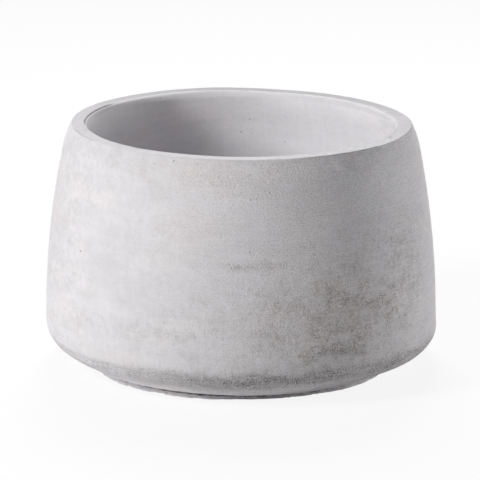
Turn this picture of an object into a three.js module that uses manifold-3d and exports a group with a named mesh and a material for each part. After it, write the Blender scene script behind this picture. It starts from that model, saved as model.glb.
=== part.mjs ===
// Concrete bowl planter: a cast bowl with a full belly low down, walls that lean in to a flat rim,
// a drain hole in the floor, a rubber plug that pulls out of it upwards, and stick-on foot pads.
// Millimetres, +Z up. The origin is the centre of the ground that the pads stand on.
import * as THREE from 'three';
import { mergeVertices } from 'three/addons/utils/BufferGeometryUtils.js';
import Module from 'manifold-3d';

const wasm = await Module();
wasm.setup();

// Outside of the bowl
const height = 200;
const bellyRadius = 160;
const bellyLow = 36;             // the widest part is a short straight band between these levels
const bellyHigh = 40;
const wallArc = 690;             // radius of the long curve up the wall
const shoulderHeight = 181;      // where the wall starts to close in on the rim
const shoulderArc = 67;
const arris = 1.2;               // rounding of the rim's outer edge
const knuckleArc = 23;           // turn from the belly into the underside
const coneAngle = 27;            // slope of the turned-in underside, in degrees
const footRadius = 122;          // low foot, set back under the edge of the cone
const footTop = 5.3;
const footChamfer = 0.8;

// Inside of the bowl
const rimFlat = 11.3;            // width of the struck top face
const lipDepth = 2.2;            // the inner lip is eased in by this much
const lipHeight = 6;
const innerBellyRadius = 146.5;
const cornerArc = 32;            // between wall and floor
const floorThickness = 16;       // at the drain
const floorFall = 2;             // slope of the floor towards the drain, in degrees

// Drain
const seatRadius = 20;
const seatDepth = 5;
const holeTopRadius = 12;
const holeBottomRadius = 11;
const holeChamfer = 1;

// Plug
const fitGap = 0.3;              // room left between pieces that touch
const headRadius = 18.4;
const headThickness = 4.4;
const headRounding = 1.2;
const shankEnd = 3.2;            // the shank stops this far above the underside
const shankChamfer = 1;
const ribHeight = 1.1;
const ribCrest = 0.7;            // width of a rib's crest
const ribStart = 2.4;            // first rib above the end of the shank
const ribPitch = 3.2;
const ribCount = 2;
const tabWidth = 20;
const tabHeight = 18;
const tabThickness = 3.6;
const tabHoleRadius = 5;
const tabSink = 1;               // how far the pull tab runs down into the head

// Foot pads, each glued into a shallow round pocket of the underside
const padThickness = 2;
const padRadius = 12;
const padRing = 94;              // distance of the pads from the axis
const pocketDepth = 1.8;
const padRounding = 0.3;
const padCount = 4;

// Steps round each form
const bowlSegments = 80;
const plugSegments = 32;
const padSegments = 24;

const radians = THREE.MathUtils.degToRad;
const undersideZ = padThickness + fitGap - pocketDepth;
const floorZ = undersideZ + floorThickness;
const ledgeZ = floorZ - seatDepth;
const taperZ = undersideZ + holeChamfer;

// An outline is drawn in a half plane: x is the distance from the axis and y the height.
// Each run adds the points of one curve and leaves out the first, where the last run ended.
const run = (curve, steps) => curve.getPoints(steps).slice(1);

const arc = (x, y, radius, from, to) =>
  new THREE.EllipseCurve(x, y, radius, radius, from, to, to < from);

const point = (x, y) => new THREE.Vector2(x, y);

// The outside, from the foot up to the rim. The cone, the knuckle, the belly band, the wall,
// the shoulder and the arris are each tangent to the next.
function outerOutline() {
  const cone = radians(coneAngle);
  const turn = Math.PI / 2 - cone;
  const knuckleX = bellyRadius - knuckleArc;
  const coneRise = bellyLow - knuckleArc * Math.cos(cone) - footTop;
  const overhangRadius = knuckleX + knuckleArc * Math.sin(cone) - coneRise / Math.tan(cone);
  const wallX = bellyRadius - wallArc;
  const wallTop = Math.asin((shoulderHeight - bellyHigh) / wallArc);
  const shoulderX = wallX + (wallArc - shoulderArc) * Math.cos(wallTop);
  const shoulderY = bellyHigh + (wallArc - shoulderArc) * Math.sin(wallTop);
  const shoulderTop = Math.asin((height - arris - shoulderY) / shoulderArc);
  const edgeX = shoulderX + (shoulderArc - arris) * Math.cos(shoulderTop);
  const edgeY = shoulderY + (shoulderArc - arris) * Math.sin(shoulderTop);
  const arrisLift = height - edgeY;
  return {
    rimRadius: edgeX,
    points: [
      point(footRadius - footChamfer, undersideZ),
      point(footRadius, undersideZ + footChamfer),
      point(footRadius, footTop),
      point(overhangRadius, footTop),
      ...arc(knuckleX, bellyLow, knuckleArc, -turn, 0).getPoints(7),
      ...arc(wallX, bellyHigh, wallArc, 0, wallTop).getPoints(8),
      ...run(arc(shoulderX, shoulderY, shoulderArc, wallTop, shoulderTop), 5),
      ...run(new THREE.EllipseCurve(edgeX, edgeY, arris, arrisLift, shoulderTop, Math.PI / 2, false), 3),
    ],
  };
}

// The inside, from the rim down to the drain seat. The lip is a quarter ellipse. The wall's arc is
// upright where it meets the corner's arc, and the corner's arc runs out into the sloping floor.
function innerOutline(rimRadius) {
  const fall = radians(floorFall);
  const lipX = rimRadius - rimFlat;
  const cornerX = innerBellyRadius - cornerArc;
  const cornerRun = cornerX - seatRadius;
  const cornerY = floorZ + Math.tan(fall) * cornerRun + cornerArc / Math.cos(fall);
  const lipEnd = point(lipX - lipDepth, height - lipHeight);
  const rise = lipEnd.y - cornerY;
  const inset = innerBellyRadius - lipEnd.x;
  const wallRadius = (rise * rise + inset * inset) / (2 * inset);
  const wallTop = Math.asin(rise / wallRadius);
  const floorStart = -Math.PI / 2 + fall;
  return [
    point(lipX, height),
    ...run(new THREE.EllipseCurve(lipX, lipEnd.y, lipDepth, lipHeight, Math.PI / 2, Math.PI, false), 5),
    ...run(arc(innerBellyRadius - wallRadius, cornerY, wallRadius, wallTop, 0), 7),
    ...run(arc(cornerX, cornerY, cornerArc, 0, floorStart), 7),
  ];
}

// The stepped hole through the floor, from its top edge down to the underside.
function drainOutline() {
  return [
    point(seatRadius + holeChamfer, floorZ),
    point(seatRadius, floorZ - holeChamfer),
    point(seatRadius, ledgeZ),
    point(holeTopRadius, ledgeZ),
    point(holeBottomRadius, taperZ),
    point(holeBottomRadius + holeChamfer, undersideZ),
  ];
}

function revolve(points, segments) {
  const geometry = new THREE.LatheGeometry(points, segments);
  geometry.rotateX(Math.PI / 2);
  return geometry;
}

// A solid for joining, from a closed geometry. Matching corners are made one, and the triangles
// that shrink to a line on the axis are left out.
function solid(geometry) {
  const bare = geometry.clone();
  bare.deleteAttribute('normal');
  bare.deleteAttribute('uv');
  const merged = mergeVertices(bare, 1e-4);
  const corners = merged.index.array;
  const kept = [];
  for (let i = 0; i < corners.length; i += 3) {
    const [a, b, c] = corners.slice(i, i + 3);
    if (a !== b && b !== c && c !== a) kept.push(a, b, c);
  }
  return new wasm.Manifold(new wasm.Mesh({
    numProp: 3,
    vertProperties: Float32Array.from(merged.attributes.position.array),
    triVerts: Uint32Array.from(kept),
  }));
}

function geometryOf(body) {
  const mesh = body.getMesh();
  const geometry = new THREE.BufferGeometry();
  geometry.setAttribute('position', new THREE.BufferAttribute(mesh.vertProperties, 3));
  geometry.setIndex(new THREE.BufferAttribute(mesh.triVerts, 1));
  geometry.computeVertexNormals();
  return geometry;
}

// Where the pads stand, on the diagonals.
function onPadRing(index) {
  const turn = (Math.PI * 2 * (index + 0.5)) / padCount;
  return new THREE.Vector3(padRing * Math.cos(turn), padRing * Math.sin(turn), 0);
}

// The room for one pad, open below.
function pocketGeometry(index) {
  const radius = padRadius + fitGap;
  const pocket = revolve([
    point(0, undersideZ - pocketDepth),
    point(radius, undersideZ - pocketDepth),
    point(radius, undersideZ + pocketDepth),
    point(0, undersideZ + pocketDepth),
  ], padSegments);
  const { x, y } = onPadRing(index);
  return pocket.translate(x, y, 0);
}

function bowlGeometry() {
  const outside = outerOutline();
  const inside = innerOutline(outside.rimRadius);
  const outline = [...outside.points, ...inside, ...drainOutline()];
  let body = solid(revolve([...outline, outline[0]], bowlSegments));
  for (let i = 0; i < padCount; i += 1) {
    body = body.subtract(solid(pocketGeometry(i)));
  }
  return geometryOf(body);
}

// The hole tapers, so the plug's shank and ribs follow its radius at each height.
function holeRadiusAt(z) {
  const share = (z - taperZ) / (ledgeZ - taperZ);
  return THREE.MathUtils.lerp(holeBottomRadius, holeTopRadius, share);
}

// One sealing rib: out to the hole, less the gap, and back to the shank.
function ribOutline(z) {
  const crest = holeRadiusAt(z - ribCrest / 2) - fitGap;
  return [
    point(crest - ribHeight, z - ribHeight),
    point(crest, z - ribCrest / 2),
    point(crest, z + ribCrest / 2),
    point(crest - ribHeight, z + ribHeight),
  ];
}

function plugOutline() {
  const bottom = undersideZ + shankEnd;
  const headZ = ledgeZ + fitGap;
  const headTop = headZ + headThickness;
  const bottomRadius = holeRadiusAt(bottom) - fitGap - ribHeight;
  const neckRadius = holeRadiusAt(ledgeZ) - fitGap - ribHeight;
  const ribs = Array.from({ length: ribCount }, (_, i) => ribOutline(bottom + ribStart + ribPitch * i));
  const roundingZ = headTop - headRounding;
  return [
    point(0, bottom),
    point(bottomRadius - shankChamfer, bottom),
    point(bottomRadius, bottom + shankChamfer),
    ...ribs.flat(),
    point(neckRadius, headZ),
    point(headRadius, headZ),
    ...arc(headRadius - headRounding, roundingZ, headRounding, 0, Math.PI / 2).getPoints(3),
    point(0, headTop),
  ];
}

// The pull tab: an upright tongue with a round top and a finger hole.
function tabGeometry() {
  const base = ledgeZ + fitGap + headThickness - tabSink;
  const half = tabWidth / 2;
  const centreZ = base + tabSink + tabHeight - half;
  const shape = new THREE.Shape();
  shape.moveTo(-half, base);
  shape.lineTo(half, base);
  shape.lineTo(half, centreZ);
  shape.absarc(0, centreZ, half, 0, Math.PI, false);
  const hole = new THREE.Path();
  hole.absarc(0, centreZ, tabHoleRadius, 0, Math.PI * 2, true);
  shape.holes.push(hole);
  const geometry = new THREE.ExtrudeGeometry(shape, {
    depth: tabThickness,
    bevelEnabled: false,
    curveSegments: 12,
  });
  geometry.translate(0, 0, -tabThickness / 2);
  geometry.rotateX(Math.PI / 2);
  return geometry;
}

function plugGeometry() {
  const stopper = solid(revolve(plugOutline(), plugSegments));
  const tab = solid(tabGeometry());
  return geometryOf(stopper.add(tab));
}

function padGeometry() {
  return revolve([
    point(0, 0),
    point(padRadius - padRounding, 0),
    point(padRadius, padRounding),
    point(padRadius, padThickness - padRounding),
    point(padRadius - padRounding, padThickness),
    point(0, padThickness),
  ], padSegments);
}

function part(name, geometry, material) {
  const mesh = new THREE.Mesh(geometry, material);
  mesh.name = name;
  return mesh;
}

const concrete = new THREE.MeshStandardMaterial({ color: 0xc9c7c8, roughness: 0.92, metalness: 0 });
const plugRubber = new THREE.MeshStandardMaterial({ color: 0x2c2c2e, roughness: 0.7, metalness: 0 });
const padRubber = new THREE.MeshStandardMaterial({ color: 0x3a3838, roughness: 0.85, metalness: 0 });

const planter = new THREE.Group();
planter.add(part('concrete_bowl', bowlGeometry(), concrete));
planter.add(part('drain_plug', plugGeometry(), plugRubber));

const feet = new THREE.Group();
for (let i = 0; i < padCount; i += 1) {
  const pad = part(`foot_pad_${i + 1}`, padGeometry(), padRubber.clone());
  pad.position.copy(onPadRing(i));
  feet.add(pad);
}
planter.add(feet);

export default planter;
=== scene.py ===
import math
import bpy
import numpy as np
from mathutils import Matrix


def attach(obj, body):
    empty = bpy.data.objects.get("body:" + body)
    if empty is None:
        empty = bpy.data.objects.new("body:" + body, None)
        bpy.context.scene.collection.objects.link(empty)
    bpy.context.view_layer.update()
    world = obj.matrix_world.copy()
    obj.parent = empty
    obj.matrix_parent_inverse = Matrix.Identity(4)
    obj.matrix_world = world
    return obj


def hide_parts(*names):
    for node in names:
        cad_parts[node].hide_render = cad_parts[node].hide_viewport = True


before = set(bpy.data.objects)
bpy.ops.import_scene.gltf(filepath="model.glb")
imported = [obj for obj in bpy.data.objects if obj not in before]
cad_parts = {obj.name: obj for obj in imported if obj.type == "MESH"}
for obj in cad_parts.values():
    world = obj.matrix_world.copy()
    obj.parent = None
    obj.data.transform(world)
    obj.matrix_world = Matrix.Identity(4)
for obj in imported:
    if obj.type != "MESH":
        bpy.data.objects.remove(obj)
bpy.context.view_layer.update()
scene = bpy.context.scene
mm = 0.001


# small helpers

def hexColour(code):
    # sRGB hex, turned to the linear values the shader works in
    value = np.array([int(code[i:i + 2], 16) for i in (1, 3, 5)]) / 255
    linear = np.where(value <= 0.04045, value / 12.92, ((value + 0.055) / 1.055) ** 2.4)
    return (*linear.tolist(), 1.0)


def addNode(tree, kind, inputs=None, **settings):
    # settings are the node's own properties; each input is a number, a colour or the socket that feeds it;
    # a Map Range node has its value at input 0, from at 1 and 2, and to at 3 and 4
    node = tree.nodes.new(kind)
    for key, value in settings.items():
        setattr(node, key, value)
    for key, value in (inputs or {}).items():
        if isinstance(value, bpy.types.NodeSocket):
            tree.links.new(value, node.inputs[key])
        else:
            node.inputs[key].default_value = value
    return node


def newMaterial(name):
    material = bpy.data.materials.new(name)
    material.use_nodes = True
    material.node_tree.nodes.clear()
    return material, material.node_tree


def line(start, end, steps):
    # straight run of an outline: start plus equal shares of the way, without the end
    share = np.linspace(0, 1, steps, endpoint=False)[:, None]
    return np.array(start) * (1 - share) + np.array(end) * share


def arc(centre, radii, turn, steps):
    # centre plus radii times (cos, sin) of an angle in degrees that goes over turn, without the end
    angle = np.radians(np.linspace(*turn, steps, endpoint=False))[:, None]
    return np.array(centre) + np.hstack([np.cos(angle), np.sin(angle)]) * np.array(radii)


def revolve(outline, columns, centre=(0, 0)):
    # each outline point (distance from the axis, height) goes round the axis:
    # x = distance times sin, y = minus distance times cos, z = height
    turn = np.arange(columns) / columns * 2 * math.pi
    x = outline[:, :1] * np.sin(turn) + centre[0]
    y = -outline[:, :1] * np.cos(turn) + centre[1]
    return np.stack([x, y, outline[:, 1:] * np.ones(columns)], -1)


def gridMesh(name, grids, material, sharpAngle=40, **layers):
    # each grid is points[row, column] in mm, turned to quads that close round its columns; its rows close too
    # ("ring"), or a fan of triangles shuts its first and last row ("capped"); layers are values for each point
    places, faces, total = [], [], 0
    for points, ending in grids:
        rows, columns = points.shape[:2]
        index = np.arange(rows * columns).reshape(rows, columns) + total
        right = np.roll(index, -1, 1)
        quads = np.stack([index, right, np.roll(right, -1, 0), np.roll(index, -1, 0)], -1)
        if ending == "capped":
            quads = quads[:-1]
        faces += quads.reshape(-1, 4).tolist()
        places.append(points.reshape(-1, 3))
        total += rows * columns
        if ending == "capped":
            places.append(np.array([points[0].mean(0), points[-1].mean(0)]))
            faces += np.stack([np.full(columns, total), right[0], index[0]], -1).tolist()
            faces += np.stack([np.full(columns, total + 1), index[-1], right[-1]], -1).tolist()
            total += 2
    mesh = bpy.data.meshes.new(name)
    mesh.from_pydata((np.vstack(places) * mm).tolist(), [], faces)
    mesh.polygons.foreach_set("use_smooth", np.ones(len(mesh.polygons), bool))
    mesh.set_sharp_from_angle(angle=math.radians(sharpAngle))
    for layer, values in layers.items():
        mesh.attributes.new(layer, "FLOAT", "POINT").data.foreach_set("value", values.ravel())
    mesh.materials.append(material)
    piece = bpy.data.objects.new(name, mesh)
    scene.collection.objects.link(piece)
    return piece


def windowOf(angle, start, end, soft):
    # 1 between two azimuths in degrees, falling off smoothly over soft degrees outside them
    away = np.abs((angle - (start + end) / 2 + 180) % 360 - 180) - (end - start) / 2
    share = np.clip(1 - away / soft, 0, 1)
    return share * share * (3 - 2 * share)


def bellOf(away, reach, power=2):
    # e to the minus (distance over reach) to the power: 1 in the middle, and flatter there at a higher power
    return np.exp(-(away / reach) ** power)


def ringNoise(angle, knots, seed):
    # random heights from -1 to 1 at equal steps round the ring, joined by smooth steps
    heights = np.random.default_rng(seed).uniform(-1, 1, knots)
    place = (angle % 360) / 360 * knots
    low = np.floor(place).astype(int) % knots
    share = place - np.floor(place)
    share = share * share * (3 - 2 * share)
    return heights[low] * (1 - share) + heights[(low + 1) % knots] * share


def roughSheet(rows, columns, passes, seed):
    # random heights on a grid that closes round its columns, smoothed by neighbours, spread back to 1
    sheet = np.random.default_rng(seed).normal(size=(rows, columns))
    for step in range(passes):
        sheet = (np.roll(sheet, 1, 1) + 2 * sheet + np.roll(sheet, -1, 1)) / 4
        sheet = (np.roll(sheet, 1, 0) + 4 * sheet + np.roll(sheet, -1, 0)) / 6
    return sheet / sheet.std()


# the cast bowl

bowlForm = {
    "columns": 720,
    "height": 200, "bellyRadius": 160, "bellyLow": 36, "bellyHigh": 40,
    "wallArc": 690, "shoulderHeight": 181, "shoulderArc": 67, "arris": 1.2,
    "knuckleArc": 23, "coneAngle": 27,
    "footRadius": 122, "footTop": 5.3, "footChamfer": 0.8, "underside": 0.5,
    "rimFlat": 9.9, "lipDepth": 3.6, "lipHeight": 6,
    "innerBellyRadius": 146.5, "cornerArc": 32, "floorTop": 16.5, "floorFall": 2,
    "seatRadius": 20, "ledge": 11.5, "holeTop": 12, "holeBottom": 11,
    "pocketRing": 94, "pocketRadius": 12.3, "pocketDepth": 1.8, "pocketCount": 4,
}

# Lengths in mm. A span is a stretch round the bowl in degrees, 0 at the front and plus to the right: its start, its
# end, and how far it fades outside them. "At" is a mark's distance past the start of its zone of the outline
bowlWear = {
    "waveCount": 16, "mostWaves": 12, "waveRise": 0.07, "wallWave": 0.22,    # the wall wanders from the true curve
    "rimWave": 0.12,
    "rimDrop": 1.1, "rimDropSpan": (112, 165, 28), "rimDropDepth": 20,       # the struck rim runs low, back right
    "swell": 1.5, "swellSpan": (72, 108, 40),                                # fuller where the wall turns under
    "loss": 0.8, "lossSpan": (-95, -72, 25),                                 # and leaner
    "swellHeight": 27, "swellReach": 11,
    "creaseDepth": 0.7, "creaseSpan": (-60, -8, 22), "creaseHeight": 29.5, "creaseWander": 2.0,
    "creaseWidth": 4.5, "creaseFade": 9,
    "chipCount": 46, "chipDepth": 0.45, "chipReach": 0.7, "chipWidths": (0.35, 1.1),    # widths in degrees
    "tearDepth": 1.5, "tearWidth": 0.8, "tearAt": 0.5, "tearSpan": (-117, -94, 12),     # torn seam, left
    "faintSpan": (90, 112, 10), "faintDepth": 0.2, "faintShade": 0.12,        # only a line of it, right
    "stainDirt": 0.26, "stainSpan": (-112, -88, 22), "stainAt": 3.6, "stainWidth": 2.2,
    "lidDepth": 0.3, "lidShade": 0.75, "lidSpan": (30, 84, 16), "lidAt": 0.7, "lidWidth": 0.38,
    "burrDepth": 0.5, "burrShade": 0.45, "burrSpan": (-75, -61, 4), "burrAt": 0.3, "burrWidth": 0.6,
    "slotDepth": 0.8, "slotShade": 0.5, "slotAzimuth": 65.5, "slotAngle": 1.0, "slotAt": -2.4, "slotWidth": 0.8,
    "footRough": 0.22, "footPits": 0.5, "pitStart": 1.1, "pitMost": 1.2, "pitShade": 0.2,
    "footShade": 0.9, "footShadeDepth": 2.3,
    "coneEdgeRough": 0.14,
    "edgeLoss": 0.8, "edgeLossSpan": (-58, -12, 16), "edgeLossReach": 3.2,   # the mould's lower edge was worn
    "bead": 0.8, "beadAt": 1.5, "beadWidth": 0.9,
    "flash": 2.6, "flashDrop": 0.35, "flashHeight": 3.2,                     # cement that spread under the mould
    "flashLeft": (-55, -18, 18), "flashRight": (44, 62, 12),
}


def bowlOutline(form):
    # closed outline (distance from the axis, height), from the drain out, up, over the rim and down inside;
    # each zone keeps its first row so that wear can be put where it belongs
    cone, fall = math.radians(form["coneAngle"]), math.radians(form["floorFall"])
    high, low, ledge, seat = form["height"], form["underside"], form["ledge"], form["seatRadius"]
    foot, footTop, chamfer = form["footRadius"], form["footTop"], form["footChamfer"]
    floorTop, holeTop, holeBottom = form["floorTop"], form["holeTop"], form["holeBottom"]
    knuckleArc, wallArc, shoulderArc = form["knuckleArc"], form["wallArc"], form["shoulderArc"]
    arris, cornerArc = form["arris"], form["cornerArc"]

    knuckleX = form["bellyRadius"] - knuckleArc
    coneTop = np.array([knuckleX + knuckleArc * math.sin(cone), form["bellyLow"] - knuckleArc * math.cos(cone)])
    overhang = coneTop[0] - (coneTop[1] - footTop) / math.tan(cone)
    coneFoot = (overhang + 2.2, footTop + 1.24)          # the rows are close together below it, for the bead
    wallX = form["bellyRadius"] - wallArc
    wallTop = math.asin((form["shoulderHeight"] - form["bellyHigh"]) / wallArc)
    reach = wallArc - shoulderArc
    shoulder = (wallX + reach * math.cos(wallTop), form["bellyHigh"] + reach * math.sin(wallTop))
    shoulderTop = math.asin((high - arris - shoulder[1]) / shoulderArc)
    edge = (shoulder[0] + (shoulderArc - arris) * math.cos(shoulderTop),
            shoulder[1] + (shoulderArc - arris) * math.sin(shoulderTop))
    wallTurn = (0, math.degrees(wallTop))
    shoulderTurn = (math.degrees(wallTop), math.degrees(shoulderTop))
    lipX, lipRadii = edge[0] - form["rimFlat"], (form["lipDepth"], form["lipHeight"])
    lipEnd = (lipX - form["lipDepth"], high - form["lipHeight"])
    cornerX = form["innerBellyRadius"] - cornerArc
    cornerY = floorTop + math.tan(fall) * (cornerX - seat) + cornerArc / math.cos(fall)
    rise, inset = lipEnd[1] - cornerY, form["innerBellyRadius"] - lipEnd[0]
    innerArc = (rise * rise + inset * inset) / (2 * inset)
    innerTop = math.degrees(math.asin(rise / innerArc))
    floorEdge = (cornerX + cornerArc * math.sin(fall), cornerY - cornerArc * math.cos(fall))
    runs = {
        "underside": np.vstack([line((holeBottom + 1, low), (80, low), 3),
                                line((80, low), (108, low), 11),           # across the pockets
                                line((108, low), (foot - chamfer, low), 2)]),
        "footSide": np.vstack([line((foot - chamfer, low), (foot, low + chamfer), 3),
                               line((foot, low + chamfer), (foot, footTop), 7)]),
        "footLedge": line((foot, footTop), (overhang - 0.5, footTop), 5),
        "coneEdge": np.vstack([arc((overhang - 0.25, footTop + 0.5), (0.5, 0.5), (-90, -27), 3),
                               line((overhang + 0.45, footTop + 0.35), coneFoot, 4)]),
        "cone": line(coneFoot, coneTop, 7),
        "knuckle": arc((knuckleX, form["bellyLow"]), (knuckleArc, knuckleArc), (form["coneAngle"] - 90, 0), 15),
        "belly": line((form["bellyRadius"], form["bellyLow"]), (form["bellyRadius"], form["bellyHigh"]), 1),
        "wall": arc((wallX, form["bellyHigh"]), (wallArc, wallArc), wallTurn, 12),
        "shoulder": arc(shoulder, (shoulderArc, shoulderArc), shoulderTurn, 5),
        "arris": arc(edge, (arris, high - edge[1]), (shoulderTurn[1], 90), 5),
        "rim": np.vstack([line((edge[0], high), (lipX + 1, high), 7), line((lipX + 1, high), (lipX, high), 3)]),
        "lip": np.vstack([arc((lipX, lipEnd[1]), lipRadii, (90, 150), 9),
                          arc((lipX, lipEnd[1]), lipRadii, (150, 180), 4)]),
        "innerWall": arc((form["innerBellyRadius"] - innerArc, cornerY), (innerArc, innerArc),
                         (innerTop, 0), 10),
        "corner": arc((cornerX, cornerY), (cornerArc, cornerArc), (0, form["floorFall"] - 90), 7),
        "floor": line(floorEdge, (seat + 1, floorTop), 6),
        "seat": np.vstack([line((seat + 1, floorTop), (seat, floorTop - 1), 2),
                           line((seat, floorTop - 1), (seat, ledge), 2),
                           line((seat, ledge), (holeTop, ledge), 2),
                           line((holeTop, ledge), (holeBottom, low + 1), 2),
                           line((holeBottom, low + 1), (holeBottom + 1, low), 1)]),
    }
    starts = dict(zip(runs, np.cumsum([0] + [len(r) for r in runs.values()])))
    return np.vstack(list(runs.values())), starts


def makeBowl(form, wear, material):
    # place = outline turned round the axis, each point moved along the outline's own normal by the wear height;
    # dirt and painted shade (0 to 1) is kept for each point: painted shade in the grooves, the burr, the slot, the
    # foot's pits and under the foot's overhang, and a stain below the torn seam
    outline, starts = bowlOutline(form)
    rows, columns = len(outline), form["columns"]
    base = outline[:, 1:]
    azimuth = np.arange(columns) / columns * 360
    turn = np.radians(azimuth)[None, :]
    step = np.roll(outline, -1, 0) - np.roll(outline, 1, 0)
    normal = np.stack([step[:, 1], -step[:, 0]], -1)
    normal /= np.linalg.norm(normal, axis=1)[:, None]
    along = np.concatenate([[0], np.cumsum(np.linalg.norm(np.diff(outline, axis=0), axis=1))])
    past = {name: along - along[start] for name, start in starts.items()}
    zone = np.searchsorted(list(starts.values()), np.arange(rows), "right") - 1
    inZone = {name: (zone == number)[:, None].astype(float) for number, name in enumerate(starts)}
    # each span of the wear, as a share from 0 to 1 for each column
    span = {name: windowOf(azimuth, *value) for name, value in wear.items()
            if isinstance(value, tuple) and len(value) == 3}
    dirt = np.zeros((rows, columns))

    # the wall wanders by a sum of cosines in azimuth and height, whole turns in azimuth so that it closes
    rng = np.random.default_rng(11)
    height = np.zeros((rows, columns))
    count, rise = wear["waveCount"], wear["waveRise"]
    for waves, rises in zip(rng.integers(1, wear["mostWaves"] + 1, count), rng.uniform(-rise, rise, count)):
        height += np.cos(waves * turn + rises * base + rng.uniform(0, 6.28)) / 4
    height *= wear["wallWave"] * sum(inZone[name] for name in (
        "cone", "knuckle", "belly", "wall", "shoulder", "innerWall", "corner", "floor"))
    rimZones = inZone["arris"] + inZone["rim"] + inZone["lip"]
    height += wear["rimWave"] * ringNoise(azimuth, knots=26, seed=3) * rimZones
    # fuller or leaner where the wall turns under, a bell in height
    low = inZone["cone"] + inZone["knuckle"]
    bell = bellOf(base - wear["swellHeight"], wear["swellReach"]) * (low + inZone["belly"] + inZone["wall"])
    swell = wear["swell"] * span["swellSpan"] - wear["loss"] * span["lossSpan"]
    height += swell[None, :] * bell
    # the cone was trowelled a little hollow, up to a soft crease that wanders round the knuckle, front left
    crease = wear["creaseHeight"] + wear["creaseWander"] * ringNoise(azimuth, knots=11, seed=41)
    hollow = np.clip((crease[None, :] - base) / wear["creaseWidth"], 0, 1) ** 0.8 * low
    fade = np.clip((base - form["footTop"]) / wear["creaseFade"], 0, 1)
    height -= wear["creaseDepth"] * span["creaseSpan"][None, :] * hollow * fade

    # both corners of the rim are nicked here and there, each nick a small bell in azimuth and along the outline
    count = wear["chipCount"]
    for centre, share, seed in ((along[starts["arris"] + 2], 1.0, 5), (along[starts["lip"]], 0.8, 6)):
        rng = np.random.default_rng(seed)
        for at, wide, deep in zip(rng.uniform(0, 360, count), rng.uniform(*wear["chipWidths"], count),
                                  rng.uniform(0.2, 1, count) ** 2):
            away = (azimuth - at + 180) % 360 - 180
            nick = bellOf(away, wide)[None, :] * bellOf(along - centre, wear["chipReach"])[:, None]
            height -= share * wear["chipDepth"] * deep * nick

    # the torn seam: a groove round part of the rim's inner edge, deepest at the left and only a line at the right
    tear = 0.8 + 0.2 * ringNoise(azimuth, knots=170, seed=8)
    torn, faint = span["tearSpan"] * tear, span["faintSpan"] * tear
    groove = bellOf(past["lip"] - wear["tearAt"], wear["tearWidth"], power=4)[:, None]
    height -= wear["tearDepth"] * (torn + wear["faintDepth"] * faint)[None, :] * groove
    # the groove is painted dark, as painted shade in it, deepest at the left; the band below it at the left is a
    # stain
    stain = bellOf(past["lip"] - wear["stainAt"], wear["stainWidth"])[:, None]
    dirt += (torn + wear["faintShade"] * faint)[None, :] * groove
    dirt += wear["stainDirt"] * span["stainSpan"][None, :] * stain
    # a fine line under the outer corner, where the mould's lid left a step, front right; the step is painted dark,
    # as painted shade in it
    lidLine = span["lidSpan"] * (0.55 + 0.45 * ringNoise(azimuth, knots=150, seed=51))
    lid = bellOf(past["arris"] - wear["lidAt"], wear["lidWidth"])[:, None] * lidLine[None, :]
    height -= wear["lidDepth"] * lid
    dirt += wear["lidShade"] * lid
    # a burr that was pressed down on the outer corner, front left, and a slot that a tool left in the rim's top;
    # both are painted dark, as painted shade in their hollows
    burr = span["burrSpan"][None, :] * bellOf(past["rim"] - wear["burrAt"], wear["burrWidth"])[:, None]
    slot = bellOf(azimuth - wear["slotAzimuth"], wear["slotAngle"], power=4)[None, :] * bellOf(
        past["lip"] - wear["slotAt"], wear["slotWidth"])[:, None]
    height -= wear["burrDepth"] * burr + wear["slotDepth"] * slot
    dirt += wear["burrShade"] * burr + wear["slotShade"] * slot

    # the foot is rough where the mould was broken away, and so is the edge that overhangs it; the foot's pits are
    # painted dark, as painted shade in them
    rough = roughSheet(rows, columns, passes=1, seed=21)
    pits = np.clip(rough - wear["pitStart"], 0, wear["pitMost"])
    height -= (wear["footRough"] * np.abs(rough) + wear["footPits"] * pits) * inZone["footSide"]
    dirt += wear["pitShade"] * pits * inZone["footSide"]
    rough = roughSheet(rows, columns, passes=2, seed=23)
    height -= wear["coneEdgeRough"] * np.abs(rough) * inZone["coneEdge"]
    lost = span["edgeLossSpan"] * (0.75 + 0.25 * ringNoise(azimuth, knots=60, seed=24))
    fade = np.clip(1 - past["coneEdge"] / wear["edgeLossReach"], 0, 1)[:, None] * inZone["coneEdge"]
    height -= wear["edgeLoss"] * lost[None, :] * fade
    # painted shade under the cone's overhang: the ledge is painted fully dark, and the foot's side is painted dark
    # from its top down to a wandering line
    wander = 0.5 * ringNoise(azimuth, knots=260, seed=61)
    shaded = base - form["footTop"] + wear["footShadeDepth"] + wander[None, :]
    dirt += inZone["footLedge"] + wear["footShade"] * np.clip(shaded / 0.6, 0, 1) * inZone["footSide"]

    radius = outline[:, :1] + normal[:, :1] * height
    level = base + normal[:, 1:] * height
    # a bead of cement that the mould's edge left along the cone
    bead = bellOf(past["coneEdge"] - wear["beadAt"], wear["beadWidth"])[:, None] * inZone["coneEdge"]
    radius += wear["bead"] * bead * (0.75 + 0.35 * ringNoise(azimuth, knots=120, seed=62))[None, :]
    # flash: the foot's lower edge spreads outwards and down to the ground, ragged
    ragged = 0.7 + 0.3 * ringNoise(azimuth, knots=200, seed=31) + 0.25 * ringNoise(azimuth, knots=47, seed=32)
    spread = (span["flashLeft"] + 0.5 * span["flashRight"]) * ragged
    share = np.clip(1 - (base - form["underside"]) / wear["flashHeight"], 0, 1) ** 1.4 * inZone["footSide"]
    radius += wear["flash"] * spread[None, :] * share
    level -= wear["flashDrop"] * spread[None, :] * share
    # the rim runs low at the back right, less and less down to the shoulder
    share = np.clip((base - form["height"] + wear["rimDropDepth"]) / wear["rimDropDepth"], 0, 1)
    level -= wear["rimDrop"] * span["rimDropSpan"][None, :] * share
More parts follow.
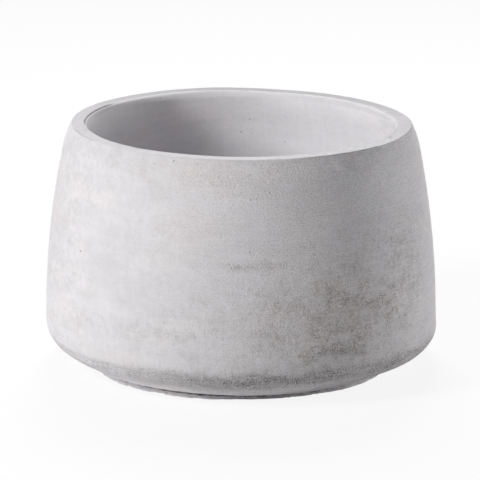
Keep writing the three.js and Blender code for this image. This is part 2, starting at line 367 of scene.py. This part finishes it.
    # pockets in the underside for the pads: every point within the pocket's circle is lifted
    for number in range(form["pocketCount"]):
        middle = math.pi / 2 + 2 * math.pi * (number + 0.5) / form["pocketCount"]
        away = np.hypot(radius * np.sin(turn) - form["pocketRing"] * math.sin(middle),
                        radius * np.cos(turn) - form["pocketRing"] * math.cos(middle))
        lift = np.clip((form["pocketRadius"] + 1 - away) / 1.2, 0, 1)
        level += form["pocketDepth"] * lift * inZone["underside"]
    points = np.stack([radius * np.sin(turn), -radius * np.cos(turn), level], -1)
    return gridMesh("cast_bowl", [(points, "ring")], material, dirt=np.clip(dirt, 0, 1))


# concrete

concreteLook = {
    "base": "#D1CFD2", "dirt": "#3E3733",
    "warmTint": (1.0, 0.958, 0.935, 1), "wallWarmth": 0.18, "cloudWarmth": 0.4,
    # painted light and shade: the inside is made paler, and its front wall darker so that it throws back less light
    "inside": 1.38, "insideFront": 0.8,         # times the wall's tone, as in the next two rows
    # painted light and shade on the lip, paler at the back and darker at the sides, and on the rim, darker at the
    # back
    "lipBack": 1.04, "lipSides": 0.77,
    "rimBack": 0.70, "rimFront": 1.03,
    # painted light thrown up by the floor onto the cone's low edge, less at the left than at the right
    "bounceLitLeft": 0.32, "bounceLitRight": 0.55, "bounceLitFrom": 22, "bounceLitTo": 8,    # heights in mm
    "drips": -0.10, "dripsFrom": 62, "dripsTo": 34,
    "rightWear": 0.8,
    "poreShade": -0.4,
    "roughness": 0.88, "ior": 1.5,
}

# What varies over the skin. Each: pattern space, size across and upright in mm, detail, swing of the tone, relief
# in mm, and how many times more shows where the pale skin of the cement is worn off
concreteLayers = {
    "sand grain": ("solid", 1.0, 1.0, 1, 0.08, 0.16, 4.6),     # 0.5 mm sand, drawn coarser so that it shows
    "speckle": ("ring", 2.6, 1.4, 2, 0.03, 0.06, 3.0),
    "fine mottle": ("solid", 5.0, 5.0, 2, 0.035, 0.08, 2.0),
    "blotches": ("ring", 22, 12, 3, 0.042, 0.0, 1.8),
    "clouds": ("ring", 64, 27, 3, 0.09, 0.0, 0.0),
    "water lines": ("ring", 70, 7, 3, 0.06, 0.0, 0.0),
    "trowel lines": ("ring", 24, 1.1, 2, 0.03, 0.06, 3.0),
    "upright runs": ("ring", 2.2, 40, 2, 0.03, 0.0, 0.0),
}

# Marks left by casting, water and handling, and a few of painted light and shade, as said above their rows: azimuth
# in degrees from the front (right is plus), height, half width and half height in mm, how much paler (plus) or
# darker (minus), how warm, how worn
wallMarks = {
    "beige high": (-8, 187, 50, 11, -0.02, 0.6, 0.3),
    "beige centre": (-15, 145, 24, 15, -0.02, 0.5, 0.1),
    "brown mottle right": (32, 80, 54, 36, -0.05, 0.7, 0.6),
    "mottle far right": (58, 100, 26, 44, -0.01, 0.1, 0.5),
    "smear centre": (7, 118, 24, 3.2, -0.07, 0.2, 0.5),
    "smear low left": (-27, 61, 42, 6, -0.05, 0.1, 0.4),
    "smear right": (30, 87, 18, 5, -0.11, 0.3, 1.0),
    "smear far right": (44, 82, 16, 9, -0.06, 0.4, 0.8),
    "smear right low": (25, 62, 24, 5, -0.08, 0.3, 0.8),
    "smear knuckle": (27, 46, 26, 6, -0.09, 0.3, 0.9),
    "lime left": (-51, 136, 15, 9, 0.06, 0.0, 0.0),
    "lime low left": (-43, 74, 8, 14, 0.06, 0.0, 0.0),
    "ring stain left": (-54, 57, 5, 9, -0.04, 0.2, 0.2),
    "lime centre": (-2, 60, 15, 8, 0.04, 0.0, 0.0),
    "dark low centre": (11, 68, 46, 24, -0.045, 0.3, 0.2),
    "pale centre high": (-4, 160, 34, 30, 0.07, 0.0, 0.0),
    "pale right high": (52, 176, 50, 26, 0.12, -0.2, 0.2),
    # painted light from above on the shoulder, in this row and the next
    "pale shoulder": (12, 194, 62, 8, 0.14, 0.1, 0.1),
    "pale shoulder right": (50, 194, 36, 8, 0.09, 0.0, 0.1),
    # painted shade on the left, where the lamp lights the wall most, in this row and the next
    "painted shade left": (-78, 135, 50, 84, -0.07, 0.0, 0.0),
    "painted shade front left": (-46, 118, 56, 80, -0.05, 0.0, 0.0),
    "dark cone centre": (-2, 20, 40, 7, -0.10, 0.2, 0.4),
    # painted light that the floor throws up onto the cone, in this row and the next
    "pale cone left": (-46, 15, 60, 12, 0.24, 0.0, 0.2),
    "pale cone right": (42, 17, 56, 9, 0.2, 0.1, 0.4),
}
markRadius, markDepth = 156, 60     # mm: how far out the middle of a mark lies, and its reach through the wall

# Grime and painted shade where the wall turns under, the knuckle band heaviest front right, where the wall turns
# away from the lamps. Each: heights in mm where it starts, is full, starts to fade and ends, the headings (1 is
# front right, -1 is back left) where it is none and full, how worn, how dark
grimeAndShadeBands = {
    "knuckle": (20, 25, 28, 36, -0.1, 0.75, 0.6, 0.22),
    "cone": (7, 13, 27, 33, -2.0, -1.0, 1.9, 0.06),
}
grimeAndShadeWarmth = 0.1
grimeAndShadeWander = {"upright runs": 14, "blotches": 16}     # mm that the bands' edges wander, so they end in drips

# Air holes: size of the cell that holds one, greatest width in mm, power that makes big ones rare, depth in mm
poreLayers = {"pores": (7.5, 1.9, 9, 0.5), "pinholes": (3.1, 0.85, 3, 0.25)}

# directions that a place on the bowl is compared with
towardsFront, towardsRight, towardsLip = (0, -1, 0), (0.75, -0.66, 0), (0.5, -0.87, 0)


def concreteMaterial(look, layers, marks, bands, pores):
    # Glass fibre cement, cast in a mould, struck and sponged by hand, left raw: a matt pale grey skin with sand
    # grain, fine air pores, lime bloom, warm water marks, and grime and painted shade where the wall turns under;
    # the inside, lip, rim, cone edge and a few marks carry painted light and shade
    material, tree = newMaterial("raw cast fibre cement")
    place = addNode(tree, "ShaderNodeTexCoord").outputs["Object"]
    parts = addNode(tree, "ShaderNodeSeparateXYZ", {0: place}).outputs
    flat = addNode(tree, "ShaderNodeCombineXYZ", {0: parts[0], 1: parts[1]}).outputs[0]
    distance = addNode(tree, "ShaderNodeVectorMath", {0: flat}, operation="LENGTH").outputs["Value"]
    outward = addNode(tree, "ShaderNodeVectorMath", {0: flat}, operation="NORMALIZE").outputs[0]
    # the ring space has the azimuth as a circle of 160 mm, and height plus distance, which never stands still
    around = addNode(tree, "ShaderNodeVectorMath", {0: outward, "Scale": 160 * mm}, operation="SCALE").outputs[0]
    run = addNode(tree, "ShaderNodeMath", {0: parts[2], 1: distance}, operation="ADD").outputs[0]
    upward = addNode(tree, "ShaderNodeCombineXYZ", {2: run}).outputs[0]
    ring = addNode(tree, "ShaderNodeVectorMath", {0: around, 1: upward}, operation="ADD").outputs[0]
    # outer is 1 on the outside and the rim and 0 on the inside; upness is 1 on what faces up
    skin = addNode(tree, "ShaderNodeNewGeometry").outputs["Normal"]
    facing = addNode(tree, "ShaderNodeVectorMath", {0: skin, 1: outward}, operation="DOT_PRODUCT").outputs["Value"]
    outer = addNode(tree, "ShaderNodeMapRange", {0: facing, 1: -0.3, 2: 0.0}).outputs[0]
    upness = addNode(tree, "ShaderNodeSeparateXYZ", {0: skin}).outputs[2]
    heading, facingFront, facingLip = [
        addNode(tree, "ShaderNodeVectorMath", {0: outward, 1: way}, operation="DOT_PRODUCT").outputs["Value"]
        for way in (towardsRight, towardsFront, towardsLip)]

    fields = {}
    for number, (name, (space, across, upright, detail, *amounts)) in enumerate(layers.items()):
        source = addNode(tree, "ShaderNodeMapping", {
            "Vector": place if space == "solid" else ring, "Location": (number * 3.7, number * 1.9, 0),
            "Scale": (1 / (across * mm), 1 / (across * mm), 1 / (upright * mm))}).outputs[0]
        field = addNode(tree, "ShaderNodeTexNoise", {"Vector": source, "Scale": 1.0, "Detail": detail,
                                                     "Roughness": 0.55}).outputs["Fac"]
        fields[name] = addNode(tree, "ShaderNodeMath", {0: field, 1: 0.5}, operation="SUBTRACT").outputs[0]

    # marks: distance from the middle in half widths, made ragged by the blotches; they change the tone, the warmth
    # and the wear, which is least at the left
    tone = 1.0
    worn = addNode(tree, "ShaderNodeMapRange", {0: heading, 1: 0.2, 2: 0.95, 3: 0.0,
                                                4: look["rightWear"]}).outputs[0]
    warmth = addNode(tree, "ShaderNodeMapRange", {0: fields["clouds"], 1: 0.0, 2: 0.25, 3: 0.0,
                                                  4: look["cloudWarmth"]}).outputs[0]
    handled = addNode(tree, "ShaderNodeMapRange", {0: facing, 1: 0.1, 2: 0.5, 3: 0.0,
                                                   4: look["wallWarmth"]}).outputs[0]
    warmth = addNode(tree, "ShaderNodeMath", {0: warmth, 1: handled}, operation="ADD").outputs[0]
    edges = addNode(tree, "ShaderNodeMath", {0: fields["blotches"], 1: fields["fine mottle"]},
                    operation="ADD").outputs[0]
    for azimuth, level, wide, high, change, warm, wear in marks.values():
        turn = math.radians(azimuth)
        centre = (markRadius * mm * math.sin(turn), -markRadius * mm * math.cos(turn), level * mm)
        local = addNode(tree, "ShaderNodeMapping", {
            "Vector": place, "Location": centre, "Rotation": (0, 0, turn),
            "Scale": (wide * mm, markDepth * mm, high * mm)}, vector_type="TEXTURE").outputs[0]
        away = addNode(tree, "ShaderNodeVectorMath", {0: local}, operation="LENGTH").outputs["Value"]
        away = addNode(tree, "ShaderNodeMath", {0: edges, 1: 2.6, 2: away}, operation="MULTIPLY_ADD").outputs[0]
        shade = addNode(tree, "ShaderNodeMapRange", {0: away, 1: 0.0, 2: 1.7, 3: 1.0, 4: 0.0},
                        interpolation_type="SMOOTHSTEP").outputs[0]
        shade = addNode(tree, "ShaderNodeMath", {0: shade, 1: outer}, operation="MULTIPLY").outputs[0]
        tone, warmth, worn = [
            addNode(tree, "ShaderNodeMath", {0: shade, 1: amount, 2: total}, operation="MULTIPLY_ADD").outputs[0]
            for amount, total in ((change, tone), (warm, warmth), (wear, worn))]

    # grime and painted shade is a band in height between a rising and a falling edge, heaviest front right and
    # patchy
    patchy = addNode(tree, "ShaderNodeMapRange", {0: fields["blotches"], 1: -0.2, 2: 0.1, 3: 0.35,
                                                  4: 1.0}).outputs[0]
    wandering = parts[2]
    for layer, reach in grimeAndShadeWander.items():
        wandering = addNode(tree, "ShaderNodeMath", {0: fields[layer], 1: reach * mm, 2: wandering},
                            operation="MULTIPLY_ADD").outputs[0]
    for bottom, full, fading, top, least, most, wear, dark in bands.values():
        grimeAndShade = addNode(tree, "ShaderNodeMapRange", {0: wandering, 1: bottom * mm, 2: full * mm},
                        interpolation_type="SMOOTHSTEP").outputs[0]
        falling = addNode(tree, "ShaderNodeMapRange", {0: wandering, 1: fading * mm, 2: top * mm, 3: 1.0, 4: 0.0},
                          interpolation_type="SMOOTHSTEP").outputs[0]
        side = addNode(tree, "ShaderNodeMapRange", {0: heading, 1: least, 2: most}).outputs[0]
        for factor in (falling, side, patchy, outer):
            grimeAndShade = addNode(tree, "ShaderNodeMath", {0: grimeAndShade, 1: factor}, operation="MULTIPLY").outputs[0]
        tone, worn, warmth = [
            addNode(tree, "ShaderNodeMath", {0: grimeAndShade, 1: amount, 2: total}, operation="MULTIPLY_ADD").outputs[0]
            for amount, total in ((-dark, tone), (wear, worn), (grimeAndShadeWarmth, warmth))]

    # drips that ran down to the knuckle and dried, and painted light on the cone's low edge, where the floor throws
    # light up
    dripping, bounceLit = [
        addNode(tree, "ShaderNodeMapRange", {0: parts[2], 1: look[start] * mm, 2: look[end] * mm},
                interpolation_type="SMOOTHSTEP").outputs[0]
        for start, end in (("dripsFrom", "dripsTo"), ("bounceLitFrom", "bounceLitTo"))]
    drips = addNode(tree, "ShaderNodeMapRange", {0: fields["upright runs"], 1: 0.04, 2: 0.2, 3: 0.0,
                                                 4: look["drips"]}).outputs[0]
    paleness = addNode(tree, "ShaderNodeMapRange", {0: heading, 1: 0.0, 2: 0.8, 3: look["bounceLitLeft"],
                                                    4: look["bounceLitRight"]}).outputs[0]
    for factor, amount in ((dripping, drips), (bounceLit, paleness)):
        factor = addNode(tree, "ShaderNodeMath", {0: factor, 1: outer}, operation="MULTIPLY").outputs[0]
        tone = addNode(tree, "ShaderNodeMath", {0: factor, 1: amount, 2: tone},
                       operation="MULTIPLY_ADD").outputs[0]

    # every layer swings the tone, and some also stand up in the relief, both more where the skin is worn
    relief = 0.0
    for name, (*shape, swing, height, more) in layers.items():
        amount = addNode(tree, "ShaderNodeMath", {0: worn, 1: more, 2: 1.0}, operation="MULTIPLY_ADD").outputs[0]
        field = addNode(tree, "ShaderNodeMath", {0: fields[name], 1: amount}, operation="MULTIPLY").outputs[0]
        tone = addNode(tree, "ShaderNodeMath", {0: field, 1: swing * 2, 2: tone},
                       operation="MULTIPLY_ADD").outputs[0]
        if height:
            relief = addNode(tree, "ShaderNodeMath", {0: field, 1: height, 2: relief},
                             operation="MULTIPLY_ADD").outputs[0]

    # the inside is painted paler as painted light, and its front wall darker so that it throws back less light
    # across the inside; the lip is painted paler at the back and darker at its sides, and the struck rim darker at
    # the back and a little paler in front: painted light and shade
    insideLightAndShade = addNode(tree, "ShaderNodeMapRange", {0: facingFront, 1: -0.1, 2: 0.6, 3: look["inside"],
                                                   4: look["insideFront"]}).outputs[0]
    innerTone = addNode(tree, "ShaderNodeMapRange", {0: outer, 3: insideLightAndShade, 4: 1.0}).outputs[0]
    lipLightAndShade = addNode(tree, "ShaderNodeMapRange", {0: facingLip, 1: -0.87, 2: 0.2, 3: look["lipBack"],
                                                4: look["lipSides"]}).outputs[0]
    onLip = addNode(tree, "ShaderNodeMapRange", {0: upness, 1: 0.02, 2: 0.25, 3: 1.0, 4: lipLightAndShade}).outputs[0]
    onLip = addNode(tree, "ShaderNodeMapRange", {0: outer, 3: onLip, 4: 1.0}).outputs[0]
    struck = addNode(tree, "ShaderNodeMapRange", {0: facingFront, 1: -1.0, 2: 0.3, 3: look["rimBack"],
                                                  4: look["rimFront"]}).outputs[0]
    onRim = addNode(tree, "ShaderNodeMapRange", {0: upness, 1: 0.85, 2: 0.98, 3: 1.0, 4: struck}).outputs[0]
    for factor in (innerTone, onLip, onRim):
        tone = addNode(tree, "ShaderNodeMath", {0: tone, 1: factor}, operation="MULTIPLY").outputs[0]

    # air holes: each cell has a round hole of its own size, and few are big
    for cell, widest, rarity, deep in pores.values():
        cells = addNode(tree, "ShaderNodeTexVoronoi", {"Vector": place, "Scale": 1 / (cell * mm)})
        dice = addNode(tree, "ShaderNodeSeparateColor", {0: cells.outputs["Color"]}).outputs[0]
        size = addNode(tree, "ShaderNodeMath", {0: dice, 1: float(rarity)}, operation="POWER").outputs[0]
        size = addNode(tree, "ShaderNodeMath", {0: size, 1: widest / 2 / cell}, operation="MULTIPLY").outputs[0]
        inner = addNode(tree, "ShaderNodeMath", {0: size, 1: cells.outputs["Distance"]},
                        operation="SUBTRACT").outputs[0]
        hole = addNode(tree, "ShaderNodeMapRange", {0: inner, 1: -0.01, 2: 0.05}).outputs[0]
        tone, relief = [
            addNode(tree, "ShaderNodeMath", {0: hole, 1: amount, 2: total}, operation="MULTIPLY_ADD").outputs[0]
            for amount, total in ((look["poreShade"], tone), (-deep, relief))]

    # on Mix nodes the socket names repeat, so they are picked by number: factor 0, colours 6 and 7, result 2
    tint = addNode(tree, "ShaderNodeMix", {0: warmth, 6: (1, 1, 1, 1), 7: look["warmTint"]},
                   data_type="RGBA", clamp_factor=True).outputs[2]
    tinted = addNode(tree, "ShaderNodeMix", {0: 1.0, 6: hexColour(look["base"]), 7: tint},
                     data_type="RGBA", blend_type="MULTIPLY").outputs[2]
    shaded = addNode(tree, "ShaderNodeVectorMath", {0: tinted, "Scale": tone}, operation="SCALE").outputs[0]
    # dirt and painted shade from the mesh pull the colour towards one dark brown
    dirt = addNode(tree, "ShaderNodeAttribute", attribute_name="dirt").outputs["Fac"]
    colour = addNode(tree, "ShaderNodeMix", {0: dirt, 6: shaded, 7: hexColour(look["dirt"])},
                     data_type="RGBA").outputs[2]
    bump = addNode(tree, "ShaderNodeBump", {"Height": relief, "Distance": mm, "Strength": 1.0}).outputs[0]
    shader = addNode(tree, "ShaderNodeBsdfPrincipled", {
        "Base Color": colour, "Roughness": look["roughness"], "IOR": look["ior"], "Normal": bump})
    addNode(tree, "ShaderNodeOutputMaterial", {"Surface": shader.outputs[0]})
    return material


concrete = concreteMaterial(concreteLook, concreteLayers, wallMarks, grimeAndShadeBands, poreLayers)
bowl = makeBowl(bowlForm, bowlWear, concrete)
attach(bowl, "bowl")
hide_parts("concrete_bowl")
print("bowl", len(bowl.data.polygons), "faces")


# rubber pieces

# colour, how much dust, roughness, and the size and relief of the skin's texture in mm
rubberLooks = {
    "moulded black rubber": ("#2C2C2E", 0.35, 0.6, 0.7, 0.03),
    "closed-cell foam rubber": ("#3A3838", 0.5, 0.9, 0.5, 0.08),
}
cementDust = "#A5A19D"


def rubberMaterial(name, colour, dust, roughness, cell, relief):
    # a dark matt skin with the texture of its mould or foam, and cement dust caught in it in 9 mm patches
    material, tree = newMaterial(name)
    place = addNode(tree, "ShaderNodeTexCoord").outputs["Object"]
    skin, patches = [
        addNode(tree, "ShaderNodeTexNoise", {"Vector": place, "Scale": 1 / (size * mm),
                                             "Detail": detail}).outputs["Fac"]
        for size, detail in ((cell, 3.0), (9, 5.0))]
    share = addNode(tree, "ShaderNodeMapRange", {0: patches, 1: 0.48, 2: 0.78, 3: 0.0, 4: dust}).outputs[0]
    mixed = addNode(tree, "ShaderNodeMix", {0: share, 6: hexColour(colour), 7: hexColour(cementDust)},
                    data_type="RGBA").outputs[2]
    bump = addNode(tree, "ShaderNodeBump", {"Height": skin, "Distance": relief * mm, "Strength": 1.0}).outputs[0]
    shader = addNode(tree, "ShaderNodeBsdfPrincipled", {
        "Base Color": mixed, "Roughness": roughness, "IOR": 1.52, "Normal": bump})
    addNode(tree, "ShaderNodeOutputMaterial", {"Surface": shader.outputs[0]})
    return material


plugRubber, padRubber = [rubberMaterial(name, *look) for name, look in rubberLooks.items()]

plugForm = {
    "columns": 96, "axisGap": 0.5,
    "bottom": 3.7, "shankBottom": 9.82, "shankTop": 10.6, "shankRounding": 1.0,
    "ribLevels": (6.1, 9.3), "ribRadii": (11.12, 11.44), "ribHeight": 1.1, "ribHalf": 1.0,
    "headBottom": 11.8, "headTop": 16.2, "headRadius": 18.4, "headRounding": 1.3, "headUnderRounding": 0.6,
    "dishRadius": 14.5, "dishDepth": 0.5,
    "tabCentre": 24.2, "tabHalfWidth": 10, "tabFoot": 15.2, "tabHalfThick": 1.8, "tabHole": 5,
    "tabFlare": 1.5, "tabFlareHeight": 1.3, "tabPower": 0.45,
}


def stopperOutline(form):
    # shank with round sealing ribs, then the head with a shallow dish in its top; ends just off the axis
    axis, bottom, top = form["axisGap"], form["bottom"], form["headTop"]
    shankBottom, shankTop, rounding = form["shankBottom"], form["shankTop"], form["shankRounding"]
    levels, ribHeight, ribHalf = form["ribLevels"], form["ribHeight"], form["ribHalf"]
    head, headBottom, under = form["headRadius"], form["headBottom"], form["headUnderRounding"]
    runs = [line((axis, bottom), (shankBottom - rounding, bottom), 4),
            arc((shankBottom - rounding, bottom + rounding), (rounding, rounding), (-90, 0), 4)]
    for level, radius in zip(levels, form["ribRadii"]):
        runs.append(arc((radius - ribHeight, level), (ribHeight, ribHalf), (-90, 90), 8))
    rounding, dish, dished = form["headRounding"], form["dishRadius"], top - form["dishDepth"]
    runs += [line((shankTop, levels[1] + ribHalf + 0.3), (shankTop, headBottom), 2),
             line((shankTop, headBottom), (head - under, headBottom), 4),
             arc((head - under, headBottom + under), (under, under), (-90, 0), 3),
             arc((head - rounding, top - rounding), (rounding, rounding), (0, 90), 6),
             line((head - rounding, top), (dish + 1, top), 3),
             line((dish + 1, top), (dish, dished), 3),
             line((dish, dished), (axis, dished), 8)]
    return np.vstack(runs)


def pullTab(form):
    # a ring round the finger hole: at each angle the cross-section is a rounded box (a superellipse) from the hole
    # to the outer edge, which is a half circle above and the straight sides and foot below; it thickens at the foot
    angle = np.linspace(0, 2 * math.pi, 96, endpoint=False)[:, None]
    section = np.linspace(0, 2 * math.pi, 28, endpoint=False)[None, :]
    half, hole = form["tabHalfWidth"], form["tabHole"]
    below = np.minimum(half / np.maximum(np.abs(np.cos(angle)), 1e-6),
                       (form["tabCentre"] - form["tabFoot"]) / np.maximum(-np.sin(angle), 1e-6))
    outer = np.where(np.sin(angle) >= 0, half, below)
    across = np.sign(np.cos(section)) * np.abs(np.cos(section)) ** form["tabPower"]
    through = np.sign(np.sin(section)) * np.abs(np.sin(section)) ** form["tabPower"]
    away = (outer + hole) / 2 + (outer - hole) / 2 * across
    level = form["tabCentre"] + away * np.sin(angle)
    flare = form["tabFlare"] * np.exp(-np.clip(level - form["headTop"], 0, None) / form["tabFlareHeight"])
    return np.stack([away * np.cos(angle), (form["tabHalfThick"] + flare) * through, level], -1)


stopper = revolve(stopperOutline(plugForm), plugForm["columns"])
plug = gridMesh("rubber_plug", [(stopper, "capped"), (pullTab(plugForm), "ring")], plugRubber)
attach(plug, "plug")
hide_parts("drain_plug")

padForm = {"columns": 64, "radius": 12, "thickness": 2.0, "rounding": 0.3, "axisGap": 0.5, "ring": 94, "count": 4}


def padOutline(form):
    # a thin disc with rounded corners; ends just off the axis
    reach, soft, top, axis = form["radius"], form["rounding"], form["thickness"], form["axisGap"]
    return np.vstack([line((axis, 0), (reach - soft, 0), 4),
                      arc((reach - soft, soft), (soft, soft), (-90, 0), 3),
                      arc((reach - soft, top - soft), (soft, soft), (0, 90), 3),
                      line((reach - soft, top), (axis, top), 4)])


for number in range(padForm["count"]):
    turn = 2 * math.pi * (number + 0.5) / padForm["count"]
    centre = (padForm["ring"] * math.cos(turn), padForm["ring"] * math.sin(turn))
    disc = revolve(padOutline(padForm), padForm["columns"], centre)
    pad = gridMesh(f"rubber_pad_{number + 1}", [(disc, "capped")], padRubber)
    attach(pad, "bowl")
    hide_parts(f"foot_pad_{number + 1}")
print("plug and pads")


# stage, lamps, camera

studio = {"floorColour": "#F7F7F7", "floorGlow": 0.88, "floorHalf": 8.0, "worldLight": 0.02}

floorMaterial, tree = newMaterial("white studio floor")   # the camera sees it near white, and its shadow stays
rays = addNode(tree, "ShaderNodeLightPath").outputs
matt = addNode(tree, "ShaderNodeBsdfDiffuse", {"Color": hexColour(studio["floorColour"])})
glow = addNode(tree, "ShaderNodeEmission", {"Color": (1, 1, 1, 1), "Strength": 1.0})
share = addNode(tree, "ShaderNodeMath", {0: rays["Is Camera Ray"], 1: studio["floorGlow"]},
                operation="MULTIPLY").outputs[0]
mixed = addNode(tree, "ShaderNodeMixShader", {0: share, 1: matt.outputs[0], 2: glow.outputs[0]})
addNode(tree, "ShaderNodeOutputMaterial", {"Surface": mixed.outputs[0]})
half = studio["floorHalf"]
floorMesh = bpy.data.meshes.new("floor")
floorMesh.from_pydata([(-half, -half, 0), (half, -half, 0), (half, half, 0), (-half, half, 0)], [],
                      [(0, 1, 2, 3)])
floorMesh.materials.append(floorMaterial)
floor = bpy.data.objects.new("floor", floorMesh)
scene.collection.objects.link(floor)

world = bpy.data.worlds.new("studio")   # white to the camera and in reflections, nearly dark as a light
scene.world = world
world.use_nodes = True
tree = world.node_tree
tree.nodes.clear()
rays = addNode(tree, "ShaderNodeLightPath").outputs
seen = addNode(tree, "ShaderNodeMath", {0: rays["Is Camera Ray"], 1: rays["Is Glossy Ray"]},
               operation="ADD").outputs[0]
seen = addNode(tree, "ShaderNodeMath", {0: seen, 1: rays["Is Transmission Ray"]}, operation="ADD",
               use_clamp=True).outputs[0]
level = addNode(tree, "ShaderNodeMapRange", {0: seen, 3: studio["worldLight"], 4: 1.0}).outputs[0]
sky = addNode(tree, "ShaderNodeBackground", {"Color": (1, 1, 1, 1), "Strength": level})
addNode(tree, "ShaderNodeOutputWorld", {"Surface": sky.outputs[0]})

# azimuth from the front (right is plus) and elevation in degrees, distance, width and height in metres, power in
# watts
lamps = {
    "tall window left": (-57, 27, 2.0, 0.45, 0.9, 33.5),
    "top back": (180, 52, 2.0, 0.8, 0.8, 29),
    "edge right": (120, 6, 2.0, 0.8, 0.8, 14),
    "low fill right": (80, 6, 2.0, 0.8, 0.8, 6.5),
}
lampAim = np.array([0, 0, 0.1])
for name, (azimuth, elevation, distance, wide, high, power) in lamps.items():
    turn, tilt = math.radians(azimuth), math.radians(elevation)
    ray = np.array([math.sin(turn) * math.cos(tilt), -math.cos(turn) * math.cos(tilt), math.sin(tilt)])
    light = bpy.data.lights.new(name, "AREA")
    light.shape = "RECTANGLE"
    light.size, light.size_y = wide, high
    light.energy = power
    lamp = bpy.data.objects.new(name, light)
    lamp.location = lampAim + ray * distance
    lamp.rotation_euler = (math.pi / 2 - tilt, 0, turn)
    scene.collection.objects.link(lamp)

# metres, degrees and, for the lens and the sensor, mm; distance and elevation are from a point on the bowl's axis
view = {"distance": 3.2, "elevation": 14.133, "pitch": 14.0465, "roll": 0.3, "side": -0.00082,
        "pivotHeight": 0.096, "lens": 292.9, "sensor": 36}
camera = bpy.data.objects.new("camera", bpy.data.cameras.new("camera"))
camera.data.sensor_width = view["sensor"]
camera.data.lens = view["lens"]
tilt = math.radians(view["elevation"])
camera.location = (view["side"], -view["distance"] * math.cos(tilt),
                   view["pivotHeight"] + view["distance"] * math.sin(tilt))
camera.rotation_mode = "ZYX"      # the roll comes first, about the camera's own line of sight
camera.rotation_euler = (math.radians(90 - view["pitch"]), 0, math.radians(view["roll"]))
scene.collection.objects.link(camera)
scene.camera = camera
scene.view_settings.view_transform = "Standard"
print("stage, lamps and camera")
